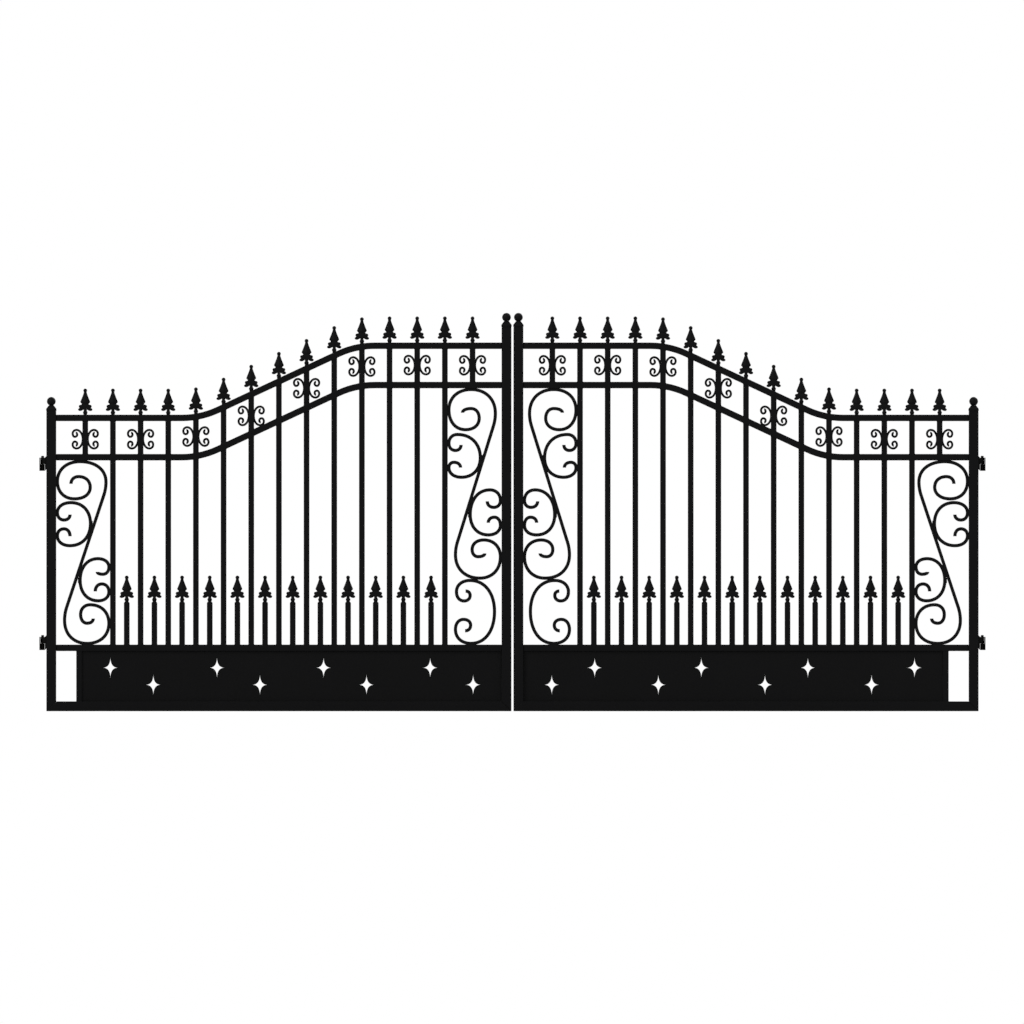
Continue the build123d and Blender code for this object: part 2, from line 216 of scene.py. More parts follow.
def only(piece: bpy.types.Object) -> None:
    """Select one object and nothing else.

    Args:
        piece: The object.
    """
    bpy.ops.object.select_all(action="DESELECT")
    piece.select_set(True)
    bpy.context.view_layer.objects.active = piece


@contextmanager
def editing(piece: bpy.types.Object) -> Iterator[None]:
    """Hold a piece in edit mode, with all of it selected at first.

    Args:
        piece: Mesh object.

    Yields:
        Nothing: the operators act on the piece until the block ends.
    """
    only(piece)
    bpy.ops.object.mode_set(mode="EDIT")
    bpy.ops.mesh.select_all(action="SELECT")
    yield
    bpy.ops.object.mode_set(mode="OBJECT")


def face_outwards() -> None:
    """Turn all faces of the piece in edit mode outwards."""
    bpy.ops.mesh.select_all(action="SELECT")
    bpy.ops.mesh.normals_make_consistent(inside=False)


def apply_modifier(piece: bpy.types.Object, kind: str, **settings: object) -> None:
    """Add a modifier, set it and apply it.

    Args:
        piece: Mesh object that it changes.
        kind: Blender's name of the modifier type.
        settings: Values by attribute name.
    """
    only(piece)
    modifier = piece.modifiers.new(kind.lower(), kind)
    for key, value in settings.items():
        setattr(modifier, key, value)
    bpy.ops.object.modifier_apply(modifier=modifier.name)


def bevel(piece: bpy.types.Object, width: float, segments: int, degrees: float) -> None:
    """Round the edges of a piece that are sharper than an angle.

    Args:
        piece: Mesh object that it changes.
        width: Width of the rounding.
        segments: Divisions of the rounding.
        degrees: The angle.
    """
    limit = math.radians(degrees)
    apply_modifier(piece, "BEVEL", width=width, segments=segments, limit_method="ANGLE", angle_limit=limit)


def join(name: str, parts: list[bpy.types.Object]) -> bpy.types.Object:
    """Join mesh objects into one.

    Args:
        name: Name of the joined piece.
        parts: Mesh objects at the origin.

    Returns:
        The joined piece.
    """
    bpy.ops.object.select_all(action="DESELECT")
    for part in parts:
        part.select_set(True)
    bpy.context.view_layer.objects.active = parts[0]
    bpy.ops.object.join()
    parts[0].name = parts[0].data.name = name
    return parts[0]


def copies(name: str, pattern: bpy.types.Object, places: list[Vector]) -> bpy.types.Object:
    """Copy a pattern to each place, each copy with its own mesh, and join them.

    Args:
        name: Name of the joined piece.
        pattern: Mesh object modelled at the origin, deleted afterwards.
        places: Where each copy goes.

    Returns:
        The joined piece.
    """
    parts = []
    for place in places:
        part = bpy.data.objects.new(name, pattern.data.copy())
        bpy.context.scene.collection.objects.link(part)
        part.data.transform(Matrix.Translation(place))
        parts.append(part)
    bpy.data.objects.remove(pattern)
    return join(name, parts)


def reflected(piece: bpy.types.Object, name: str, middle: float) -> bpy.types.Object:
    """Mirror image of a piece about an upright plane across the opening.

    Args:
        piece: Mesh object at the origin.
        name: Name of the image.
        middle: Place of the plane along X.

    Returns:
        The mirror image, with its faces turned outwards again.
    """
    image = bpy.data.objects.new(name, piece.data.copy())
    bpy.context.scene.collection.objects.link(image)
    image.data.transform(Matrix.Translation((2 * middle, 0, 0)) @ Matrix.Scale(-1, 4, (1, 0, 0)))
    image.data.flip_normals()
    return image


def smooth(piece: bpy.types.Object, degrees: float = 35) -> None:
    """Shade a piece smoothly except across edges sharper than an angle."""
    only(piece)
    bpy.ops.object.shade_smooth_by_angle(angle=math.radians(degrees))


def column(name: str, sides: int, stations: list[Triple], turn: float = 0.0) -> bpy.types.Object:
    """Upright form drawn out from a flat ring, station by station.

    Args:
        name: Name of the piece.
        sides: Corners of the ring.
        stations: Height, half width along X and half depth along Y of each ring, in metres.
        turn: Turn of the first ring about Z, in radians.

    Returns:
        The closed form, standing at the origin.
    """
    height, half_x, half_y = stations[0]
    bpy.ops.object.select_all(action="DESELECT")
    bpy.ops.mesh.primitive_circle_add(vertices=sides, radius=1, fill_type="NGON", location=(0, 0, height))
    piece = bpy.context.object
    piece.name = piece.data.name = name
    piece.data.transform(Matrix.Diagonal((half_x, half_y, 1, 1)) @ Matrix.Rotation(turn, 4, "Z"))
    bpy.ops.object.transform_apply(location=True, rotation=False, scale=False)
    with editing(piece):
        for next_height, next_x, next_y in stations[1:]:
            bpy.ops.mesh.extrude_region_move(TRANSFORM_OT_translate={"value": (0, 0, next_height - height)})
            taper = (next_x / half_x, next_y / half_y, 1)
            bpy.ops.transform.resize(value=taper, center_override=(0, 0, next_height))
            height, half_x, half_y = next_height, next_x, next_y
        face_outwards()
    return piece


def block(name: str, low: Vector, high: Vector) -> bpy.types.Object:
    """Square-edged block, with its place in its mesh.

    Args:
        name: Name of the block.
        low: Its lowest corner.
        high: Its highest corner.

    Returns:
        The block.
    """
    bpy.ops.object.select_all(action="DESELECT")
    bpy.ops.mesh.primitive_cube_add(size=1, location=(low + high) / 2, scale=high - low)
    piece = bpy.context.object
    bpy.ops.object.transform_apply(location=True, rotation=False, scale=True)
    piece.name = piece.data.name = name
    return piece


def bent_bar(name: str, paths: list[list[Knot]], width: float, steps: int) -> bpy.types.Object:
    """Square bars bent in the plane of the leaf.

    Args:
        name: Name of the piece.
        paths: Points of each bar, as place, handle before and handle after.
        width: Width of the bar, in metres.
        steps: Divisions between two points.

    Returns:
        A closed mesh of all the bars, in the plane y = 0.
    """
    bpy.ops.object.select_all(action="DESELECT")
    bpy.ops.curve.primitive_bezier_curve_add()
    piece = bpy.context.object
    piece.name = name
    curve = piece.data
    curve.splines.clear()
    curve.dimensions = "2D"
    curve.fill_mode = "NONE"
    curve.resolution_u = steps
    for path in paths:
        spline = curve.splines.new("BEZIER")
        spline.bezier_points.add(len(path) - 1)
        for knot, (place, before, after) in zip(spline.bezier_points, path):
            knot.handle_left_type = knot.handle_right_type = "FREE"
            knot.co = (*place, 0)
            knot.handle_left = (*before, 0)
            knot.handle_right = (*after, 0)
    outline = square_outline(width)
    curve.bevel_mode = "OBJECT"
    curve.bevel_object = outline
    curve.use_fill_caps = True
    piece = meshed(piece)
    bpy.data.objects.remove(outline)
    piece.data.transform(Matrix.Rotation(math.radians(90), 4, "X"))
    piece.name = piece.data.name = name
    return piece


def meshed(curve: bpy.types.Object) -> bpy.types.Object:
    """Turn a curve object into a closed mesh with its faces outwards.

    Args:
        curve: Curve object, used up.

    Returns:
        The mesh object.
    """
    only(curve)
    bpy.ops.object.convert(target="MESH")
    piece = bpy.context.object
    with editing(piece):
        bpy.ops.mesh.remove_doubles(threshold=MERGE)
        face_outwards()
    return piece


def softened(node: str, name: str, arris: float) -> bpy.types.Object:
    """Copy of a solid with its arrises rounded.

    Args:
        node: Name of the solid.
        name: Name of the copy.
        arris: Width of the rounding.

    Returns:
        The rounded copy.
    """
    piece = bpy.data.objects.new(name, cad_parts[node].data.copy())
    bpy.context.scene.collection.objects.link(piece)
    with editing(piece):
        bpy.ops.mesh.remove_doubles(threshold=MERGE)
        bpy.ops.mesh.dissolve_limited(angle_limit=math.radians(1))
    bevel(piece, arris, 2, 40)
    smooth(piece)
    return piece


def bead(name: str, places: list[Triple], width: float, closed: bool) -> bpy.types.Object:
    """Weld bead laid through places.

    Args:
        name: Name of the piece.
        places: Corners of its line.
        width: Width of the bead.
        closed: True if it runs back to its start.

    Returns:
        The bead as a closed mesh.
    """
    curve = bpy.data.curves.new(name, "CURVE")
    curve.dimensions = "3D"
    curve.bevel_depth = width / 2
    curve.bevel_resolution = 1
    curve.use_fill_caps = True
    spline = curve.splines.new("POLY")
    spline.points.add(len(places) - 1)
    for point, place in zip(spline.points, places):
        point.co = (*place, 1)
    spline.use_cyclic_u = closed
    line = bpy.data.objects.new(name, curve)
    bpy.context.scene.collection.objects.link(line)
    line = meshed(line)
    smooth(line, 60)
    return line


def square_outline(width: float) -> bpy.types.Object:
    """Square bar section with a twelfth of its width taken off each arris.

    Args:
        width: Width of the bar.

    Returns:
        A closed flat curve.
    """
    half = width / 2
    inner = half - width / 12
    corners = [(half, inner), (inner, half), (-inner, half), (-half, inner)]
    corners += [(-half, -inner), (-inner, -half), (inner, -half), (half, -inner)]
    curve = bpy.data.curves.new("square_bar_outline", "CURVE")
    spline = curve.splines.new("POLY")
    spline.points.add(len(corners) - 1)
    for point, (x, y) in zip(spline.points, corners):
        point.co = (x, y, 0, 1)
    spline.use_cyclic_u = True
    outline = bpy.data.objects.new("square_bar_outline", curve)
    bpy.context.scene.collection.objects.link(outline)
    return outline


def curl(turns: list[Vector], plumb: bool, handle: float = QUARTER_HANDLE) -> list[Knot]:
    """Curve points through the places where a scroll runs upright and level in turn.

    Args:
        turns: Places along the scroll, as X and Z.
        plumb: True if the scroll runs upright at the first place.
        handle: Length of a handle as a share of its quarter turn.

    Returns:
        Place, handle before and handle after of each point.
    """
    points = []
    for n, place in enumerate(turns):
        upright = plumb == (n % 2 == 0)
        keep = Vector((0, 1)) if upright else Vector((1, 0))
        before = turns[n - 1] - place if n else Vector((0, 0))
        after = turns[n + 1] - place if n + 1 < len(turns) else Vector((0, 0))
        points.append((place, place + before * keep * handle, place + after * keep * handle))
    return points


def ball_rings(centre: float, radius: float, low: float, high: float, steps: int) -> list[Triple]:
    """Rings of a ball, as stations of a column.

    Args:
        centre: Height of its middle.
        radius: Its radius.
        low: Angle of the lowest ring below the level, in degrees, negative.
        high: Angle of the highest ring above the level, in degrees.
        steps: Divisions between the two.

    Returns:
        Height and half widths of each ring.
    """
    rings = []
    for n in range(steps + 1):
        rise = math.radians(low + (high - low) * n / steps)
        out = radius * math.cos(rise)
        rings.append((centre + radius * math.sin(rise), out, out))
    return rings


def extent(places: list[Vector]) -> tuple[Vector, Vector]:
    """Lowest and highest corner of the box round some places."""
    low = Vector([min(place[axis] for place in places) for axis in range(3)])
    return low, Vector([max(place[axis] for place in places) for axis in range(3)])


def islands(node: str) -> list[list[Vector]]:
    """Corner places of each separate solid of a node.

    Args:
        node: Name of the node.

    Returns:
        One list of places for each solid.
    """
    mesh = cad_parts[node].data
    keys = {}
    owner = []
    for vertex in mesh.vertices:
        key = tuple(round(c, 6) for c in vertex.co)
        owner.append(keys.setdefault(key, len(keys)))
    parent = list(range(len(keys)))

    def root(n: int) -> int:
        """Find the first corner of a solid.

        Args:
            n: Number of any of its corners.

        Returns:
            Number of its first corner.
        """
        while parent[n] != n:
            parent[n] = parent[parent[n]]
            n = parent[n]
        return n

    for edge in mesh.edges:
        first, second = (root(owner[n]) for n in edge.vertices)
        parent[first] = second
    groups = {}
    for key, n in keys.items():
        groups.setdefault(root(n), []).append(Vector(key))
    return list(groups.values())


def fix(piece: bpy.types.Object, nodes: list[str], body: str, finish: bpy.types.Material) -> None:
    """Hide the solids that a finished piece stands for, give it its body, slot and material, and report it.

    Its normals are weighted by area first, so that a rounded arris doesn't pull the shading of a flat face.

    Args:
        piece: Finished mesh object at the origin.
        nodes: Solids that it stands for.
        body: Body that it moves with.
        finish: Its material.
    """
    apply_modifier(piece, "WEIGHTED_NORMAL", keep_sharp=True)
    piece.data.materials.clear()
    piece.data.materials.append(finish)
    if nodes:
        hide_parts(*nodes)
    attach(piece, body)
    log.info("%s: %d faces on %s", piece.name, len(piece.data.polygons), body)


@dataclass
class Leaf:
    """Places that every part of the gate takes from the frame."""

    middle: float = (CAD_BOX[0][0] + CAD_BOX[1][0]) / 2
    depth: float = (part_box("left_hinge_stile")[0][1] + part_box("left_hinge_stile")[1][1]) / 2

    def both(
        self, piece: bpy.types.Object, stem: str, nodes: list[str], finish: bpy.types.Material
    ) -> None:
        """Fix a left piece and its mirror image.

        Args:
            piece: Piece of the left leaf.
            stem: Name of the piece without its side.
            nodes: Solids that it stands for, without their side.
            finish: Its material.
        """
        piece.name = piece.data.name = f"left_{stem}"
        image = reflected(piece, f"right_{stem}", self.middle)
        for side, one in zip(SIDES, (piece, image)):
            fix(one, [f"{side}_{node}" for node in nodes], f"{side}_leaf", finish)

    def centred(self, piece: bpy.types.Object) -> bpy.types.Object:
        """Move a piece from the plane y = 0 to the middle plane of the leaf."""
        piece.data.transform(Matrix.Translation((0, self.depth, 0)))
        return piece


@dataclass
class SquareBarwork:
    """Stiles, rails and bars, with the soft arrises of rolled section."""

    arris: float = 1.6 * MM
    nodes: tuple[str, ...] = (
        "hinge_stile",
        "meeting_stile",
        "bottom_rail",
        "mid_rail",
        "top_rail",
        "frieze_rail",
        "panel_upright",
        "pickets",
        "frieze_bars",
        "dog_bars",
    )

    def build(self, finish: bpy.types.Material) -> None:
        """Round the arrises of each bar and paint it.

        Args:
            finish: Paint of the bars.
        """
        for side in SIDES:
            for node in self.nodes:
                piece = softened(f"{side}_{node}", f"{side}_{node}_bar", self.arris)
                fix(piece, [f"{side}_{node}"], f"{side}_leaf", finish)


@dataclass
class SpearHeads:
    """Cast spear heads: round foot and bead, two pairs of lobes, a ridged blade and a ball.

    The outline and the rings are in millimetres above the seat.
    """

    tallest: float = 101 * MM
    sunk: float = 4 * MM
    foot: float = 7.0 * MM
    swell: float = 8.9 * MM
    neck: float = 5.6 * MM
    ball: float = 7.5 * MM
    ball_arc: tuple[float, float] = (-70, 84)
    ball_steps: int = 10
    sides: int = 16
    blade_arris: float = 0.8 * MM
    lobe_thickness: float = 11 * MM
    lobe_edge: float = 3 * MM
    lobe_outline: tuple[tuple[float, float], ...] = (
        (7, 19.2), (13, 15.8), (20, 14.2), (25.6, 15.8), (27.9, 19.8), (25.6, 23.6),
        (22.6, 26.2), (24.3, 29.4), (24.7, 33.4), (22, 37.2), (17.4, 38.4), (12, 40.5),
    )
    blade_rings: tuple[Triple, ...] = (
        (37, 12.6, 5.4), (40.4, 13.6, 6.3), (44, 15.6, 6.9), (47.2, 19.0, 7.3), (49.2, 19.6, 7.4),
        (51.5, 18.9, 7.3), (62, 14.6, 6.7), (72, 10.6, 6.1), (82, 7.0, 5.5), (88, 5.7, 5.0),
    )
    nodes: tuple[str, ...] = ("picket_spears", "dog_bar_spears")

    def pattern(self, height: float, sunk: float) -> bpy.types.Object:
        """One spear head standing at the origin.

        Args:
            height: Height of the head.
            sunk: Length of the foot that runs on below its seat, on a sloping rail.

        Returns:
            The head as one mesh.
        """
        stem = [
            (-sunk, self.foot),
            (3 * MM, self.foot),
            (5 * MM, self.swell * 0.92),
            (7 * MM, self.swell),
            (9.5 * MM, self.swell),
            (11.5 * MM, self.swell * 0.92),
            (13.5 * MM, self.neck * 1.15),
            (24 * MM, self.neck),
        ]
        turned = column("spear_stem", self.sides, [(up, out, out) for up, out in stem])
        rings = [(up * MM, across * MM, deep * MM) for up, across, deep in self.blade_rings]
        blade = column("spear_blade", 4, rings)
        bevel(blade, self.blade_arris, 2, 30)
        centre = height - self.ball
        seat = (centre - 1.4 * self.ball, self.neck * 0.9, self.neck * 0.9)
        rings = ball_rings(centre, self.ball, *self.ball_arc, self.ball_steps)
        ball = column("spear_ball", self.sides, [seat, *rings])
        head = join("spear_head", [turned, self.lobes(), blade, ball])
        smooth(head, 40)
        return head

    def lobes(self) -> bpy.types.Object:
        """Two pairs of lobes below the blade.

        Returns:
            The lobes as one upright plate with rounded edges.
        """
        right = [Vector(place) * MM for place in self.lobe_outline]
        left = [Vector((-place.x, place.y)) for place in reversed(right)]
        curve = bpy.data.curves.new("spear_lobes", "CURVE")
        curve.dimensions = "2D"
        curve.fill_mode = "BOTH"
        curve.resolution_u = 3
        curve.extrude = self.lobe_thickness / 2 - self.lobe_edge
        curve.bevel_depth = self.lobe_edge
        curve.bevel_resolution = 1
        curve.offset = -self.lobe_edge
        spline = curve.splines.new("BEZIER")
        spline.bezier_points.add(len(right) + len(left) - 1)
        spline.use_cyclic_u = True
        for knot, place in zip(spline.bezier_points, right + left):
            knot.co = (*place, 0)
            knot.handle_left_type = knot.handle_right_type = "AUTO"
        lobes = bpy.data.objects.new("spear_lobes", curve)
        bpy.context.scene.collection.objects.link(lobes)
        lobes = meshed(lobes)
        lobes.data.transform(Matrix.Rotation(math.radians(90), 4, "X"))
        return lobes

    def build(self, leaf: Leaf, finish: bpy.types.Material) -> None:
        """Stand a head on each seat of the left leaf and mirror them.

        Args:
            leaf: Places of the leaf.
            finish: Paint of the castings.
        """
        for node in self.nodes:
            seats = self.seats(f"left_{node}")
            height = min(self.tallest, max(high - low for _, low, high in seats))
            places = [Vector((x, leaf.depth, high - height)) for x, _, high in seats]
            sunk = self.sunk if node == "picket_spears" else 0.0
            heads = copies(f"left_{node}_cast", self.pattern(height, sunk), places)
            leaf.both(heads, f"{node}_cast", [node], finish)

    @staticmethod
    def seats(node: str) -> list[Triple]:
        """Middle, foot and top of each solid of a node, from left to right.

        Args:
            node: Name of the node.

        Returns:
            Place along X and the two heights of each solid.
        """
        seats = []
        for part in islands(node):
            low, high = extent(part)
            seats.append((sum(place.x for place in part) / len(part), low.z, high.z))
        return sorted(seats)


@dataclass
class SideScrolls:
    """S and C scrolls of square bar in the two side panels, as shares of their panel.

    A chain gives the places where a bar runs upright and level in turn, and a C starts with whether its
    first place is upright. A touch is a share where two scrolls meet, with the side of the bar it is on.
    """

    bar: float = 13 * MM
    bend: float = 165 * MM
    weld_length: float = 22 * MM
    weld_width: float = 4 * MM
    steps: int = 18
    s_scrolls: dict[str, tuple[Shares, Shares]] = field(default_factory=lambda: {
        "hinge_side": (
            [(0.26, 0.88), (0.41, 0.92), (0.64, 0.861), (0.33, 0.797),
             (-0.01, 0.893), (0.44, 1.003), (0.952, 0.891)],
            [(0.7, 0.135), (0.58, 0.109), (0.45, 0.157), (0.64, 0.211),
             (1.01, 0.108), (0.58, -0.003), (0.132, 0.124)],
        ),
        "meeting_side": (
            [(0.26, 0.91), (0.43, 0.9265), (0.59, 0.888), (0.32, 0.843),
             (-0.01, 0.921), (0.43, 1.002), (0.91, 0.908)],
            [(0.7, 0.354), (0.57, 0.341), (0.45, 0.369), (0.68, 0.407),
             (1.01, 0.34), (0.6, 0.256), (0.12, 0.348)],
        ),
    })
    c_scrolls: dict[str, list[tuple[bool, Shares]]] = field(default_factory=lambda: {
        "hinge_side": [
            (True, [(0.24, 0.71), (0.12, 0.68), (-0.01, 0.72), (0.26, 0.776), (0.645, 0.66),
                    (0.24, 0.538), (-0.01, 0.593), (0.12, 0.631), (0.24, 0.59)]),
            (True, [(0.78, 0.393), (0.89, 0.38), (1.01, 0.42), (0.79, 0.466), (0.44, 0.346),
                    (0.8, 0.233), (1.01, 0.283), (0.87, 0.326), (0.74, 0.285)]),
        ],
        "meeting_side": [
            (True, [(0.23, 0.783), (0.12, 0.761), (-0.01, 0.789), (0.16, 0.824), (0.612, 0.732),
                    (0.24, 0.655), (-0.01, 0.693), (0.09, 0.714), (0.22, 0.693)]),
            (True, [(0.75, 0.56), (0.88, 0.536), (1.01, 0.563), (0.8, 0.605), (0.412, 0.507),
                    (0.77, 0.427), (1.01, 0.465), (0.89, 0.497), (0.77, 0.475)]),
            (False, [(0.32, 0.205), (0.41, 0.188), (0.29, 0.166), (0.14, 0.202), (0.41, 0.247), (0.893, 0.124),
                     (0.43, -0.002), (0.12, 0.053), (0.28, 0.093), (0.42, 0.07), (0.31, 0.048)]),
        ],
    })
    touches: dict[str, list[tuple[float, float, int, int]]] = field(default_factory=lambda: {
        "hinge_side": [(0.645, 0.66, 1, 0), (0.44, 0.346, -1, 0)],
        "meeting_side": [(0.612, 0.732, 1, 0), (0.412, 0.507, -1, 0), (0.5, 0.247, 0, 1)],
    })
    low: Vector = field(init=False)
    high: Vector = field(init=False)

    def build(self, leaf: Leaf, finish: bpy.types.Material) -> None:
        """Bend the scrolls of both panels of the left leaf and mirror them.

        Args:
            leaf: Places of the leaf.
            finish: Paint of the scrolls.
        """
        for panel in ("hinge_side", "meeting_side"):
            low, self.high = (Vector(corner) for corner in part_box(f"left_{panel}_s_scroll"))
            self.low = Vector((low.x, low.y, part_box("left_mid_rail")[1][2]))
            upper, lower = (self.places(shares) for shares in self.s_scrolls[panel])
            s_path = self.s_points(upper, lower)
            s_piece = bent_bar(f"left_{panel}_s_scroll_forged", [s_path], self.bar, self.steps)
            c_paths = [curl(self.places(shares), plumb, FULL_HANDLE) for plumb, shares in self.c_scrolls[panel]]
            c_piece = bent_bar(f"left_{panel}_c_scrolls_forged", c_paths, self.bar, self.steps)
            for piece, kind in ((s_piece, "s_scroll"), (c_piece, "c_scrolls")):
                smooth(leaf.centred(piece))
                leaf.both(piece, f"{panel}_{kind}_forged", [f"{panel}_{kind}"], finish)
            leaf.both(self.welds(panel, leaf.depth), f"{panel}_scroll_welds", [], finish)

    def welds(self, panel: str, depth: float) -> bpy.types.Object:
        """Short beads, front and back, wherever a scroll touches the frame or its neighbour.

        Args:
            panel: Name of the panel.
            depth: Place of the leaf's middle plane along Y.

        Returns:
            All the beads of the panel.
        """
        chains = [*self.s_scrolls[panel], *(chain for _, chain in self.c_scrolls[panel])]
        spots = list(self.touches[panel])
        for across, up in (share for chain in chains for share in chain):
            if not 0 < across < 1:
                spots.append((across, up, 1 if across > 0.5 else -1, 0))
            elif not 0 < up < 1:
                spots.append((across, up, 0, 1 if up > 0.5 else -1))
        beads = []
        for across, up, right, above in spots:
            middle = self.places([(across, up)])[0] + Vector((right, above)) * self.bar / 2
            run = Vector((above, right)) * self.weld_length / 2
            for y in (depth - self.bar / 2, depth + self.bar / 2):
                line = [(end.x, y, end.y) for end in (middle - run, middle, middle + run)]
                beads.append(bead("scroll_weld", line, self.weld_width, closed=False))
        return join(f"left_{panel}_scroll_welds", beads)

    def places(self, shares: Shares) -> list[Vector]:
        """Real places of shares of the panel.

        Args:
            shares: Places across and up the panel, from 0 to 1 where the bar touches its frame.

        Returns:
            X and Z of the middle line of the bar.
        """
        width = self.high.x - self.low.x - self.bar
        height = self.high.z - self.low.z - self.bar
        start = Vector((self.low.x + self.bar / 2, self.low.z + self.bar / 2))
        return [start + Vector((across * width, up * height)) for across, up in shares]

    def s_points(self, upper: list[Vector], lower: list[Vector]) -> list[Knot]:
        """Curve points of an S: two volutes, and a straight stretch between two easy bends.

        Args:
            upper: Places of the upper volute from its tail outwards.
            lower: Places of the lower volute from its tail outwards.

        Returns:
            Place, handle before and handle after of each point.
        """
        above = curl(upper, True, FULL_HANDLE)
        below = [(place, after, before) for place, before, after in reversed(curl(lower, True, FULL_HANDLE))]
        start, end = upper[-1], lower[-1]
        across, up = end - start
        spare = abs(across) - 2 * self.bend
        turn = math.acos(-2 * self.bend / math.hypot(spare, up)) - math.atan2(abs(up), spare)
        aside, along = math.copysign(1, across), math.copysign(1, up)
        drop = Vector((aside * self.bend * (1 - math.cos(turn)), along * self.bend * math.sin(turn)))
        lean = Vector((aside * math.sin(turn), along * math.cos(turn)))
        reach = 4 / 3 * math.tan(turn / 4) * self.bend
        plumb = Vector((0, along * reach))
        first, last = start + drop, end - drop
        stretch = (last - first) / 3
        above[-1] = (start, above[-1][1], start + plumb)
        below[0] = (end, end - plumb, below[0][2])
        bends = [
            (first, first - lean * reach, first + stretch),
            (last, last - stretch, last + lean * reach),
        ]
        return [*above, *bends, *below]


@dataclass
class FriezeScrolls:
    """Small C scrolls, back to back on every other frieze bar, some a little below the middle of the frieze.

    Half of a scroll is given in millimetres out from its bar and up from its middle.
    """

    bar: float = 8.5 * MM
    seat: float = 11 * MM
    sunk: float = 1.5 * MM
    drops: tuple[float, ...] = (6.3 * MM, 6.3 * MM, 0.5 * MM, 7.0 * MM, 0.0, 0.8 * MM, -1.2 * MM, -0.4 * MM)
    half: tuple[tuple[float, float], ...] = (
        (37, 25), (31.2, 17.6), (40.4, 9.2), (48.8, 21.6), (33.6, 36),
    )
    steps: int = 6

    def build(self, leaf: Leaf, finish: bpy.types.Material) -> None:
        """Bend one C, stand it on each seat of the left leaf and mirror them.

        Args:
            leaf: Places of the leaf.
            finish: Paint of the scrolls.
        """
        upper = [Vector((across, up)) * MM for across, up in self.half]
        back = Vector((self.seat - self.sunk, 0))
        lower = [Vector((place.x, -place.y)) for place in reversed(upper)]
        right = bent_bar("frieze_c", [curl([*upper, back, *lower], False)], self.bar, self.steps)
        with editing(right):
            bpy.ops.mesh.bisect(plane_co=(self.seat, 0, 0), plane_no=(1, 0, 0), clear_inner=True, use_fill=True)
            face_outwards()
        left = reflected(right, "frieze_c_left", 0)
        pair = join("frieze_c_pair", [right, left])
        smooth(pair)
        solids = sorted(islands("left_frieze_scrolls"), key=lambda part: extent(part)[0].x)
        places = []
        for left_part, right_part, drop in zip(solids[::2], solids[1::2], self.drops):
            low, high = extent(left_part + right_part)
            places.append(Vector(((low.x + high.x) / 2, leaf.depth, (low.z + high.z) / 2 - drop)))
        piece = copies("left_frieze_scrolls_forged", pair, places)
        leaf.both(piece, "frieze_scrolls_forged", ["frieze_scrolls"], finish)


@dataclass
class KickPanel:
    """Sheet with two rows of pierced four-pointed stars, welded in with a bead at its edges."""

    star_width: float = 57.5 * MM
    star_height: float = 80.5 * MM
    margin: float = 110 * MM
    row_shift: float = 83 * MM
    row_rise: float = 33 * MM
    in_row: int = 4
    star_points: int = 48
    # Power of the sine and cosine: 1 gives an ellipse, and more draws the sides in between the tips.
    hollow: int = 4
    arris: float = 0.5 * MM
    bead_width: float = 3.2 * MM

    def build(self, leaf: Leaf, finish: bpy.types.Material) -> None:
        """Cut the stars, lay the beads and mirror the panel.

        Args:
            leaf: Places of the leaf.
            finish: Paint of the sheet.
        """
        low, high = (Vector(corner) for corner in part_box("left_kick_panel"))
        sheet = block("left_kick_panel_sheet", low, high)
        middle = (low + high) / 2
        stars = []
        pitch = (high.x - low.x - 2 * (self.margin + self.row_shift)) / (self.in_row - 1)
        for row in (-1, 1):
            for n in range(self.in_row):
                along = low.x + self.margin + (1 + row) * self.row_shift + n * pitch
                centre = Vector((along, middle.y, middle.z - row * self.row_rise))
                stars.append(self.star(centre, high.y - low.y))
        cutter = join("star_cutter", stars)
        apply_modifier(sheet, "BOOLEAN", object=cutter, operation="DIFFERENCE", solver="EXACT")
        bpy.data.objects.remove(cutter)
        bevel(sheet, self.arris, 2, 50)
        smooth(sheet, 30)
        leaf.both(sheet, "kick_panel_sheet", ["kick_panel"], finish)
        leaf.both(self.beads(low, high), "kick_panel_beads", [], finish)

    def star(self, centre: Vector, depth: float) -> bpy.types.Object:
        """Cutter for one star.

        Args:
            centre: Middle of the star.
            depth: Thickness of the sheet.

        Returns:
            A prism that passes through the sheet.
        """
        bpy.ops.object.select_all(action="DESELECT")
        bpy.ops.mesh.primitive_circle_add(vertices=self.star_points, radius=1, fill_type="NGON")
        star = bpy.context.object
        for vertex in star.data.vertices:
            turn = math.atan2(vertex.co.y, vertex.co.x)
            across = math.copysign(math.cos(turn) ** self.hollow, math.cos(turn)) * self.star_width / 2
            up = math.copysign(math.sin(turn) ** self.hollow, math.sin(turn)) * self.star_height / 2
            vertex.co = (across, up, 0)
        behind = Matrix.Translation(centre + Vector((0, 2 * depth, 0)))
        star.data.transform(behind @ Matrix.Rotation(math.radians(90), 4, "X"))
        with editing(star):
            bpy.ops.mesh.extrude_region_move(TRANSFORM_OT_translate={"value": (0, -4 * depth, 0)})
            face_outwards()
        return star

    def beads(self, low: Vector, high: Vector) -> bpy.types.Object:
        """Weld beads round the sheet, front and back.

        Args:
            low: Lowest corner of the sheet.
            high: Its highest corner.

        Returns:
            Both rings of bead.
        """
        rings = []
        for y in (low.y, high.y):
            corners = [(low.x, y, low.z), (high.x, y, low.z), (high.x, y, high.z), (low.x, y, high.z)]
            rings.append(bead("panel_weld", corners, self.bead_width, closed=True))
        return join("left_kick_panel_beads", rings)


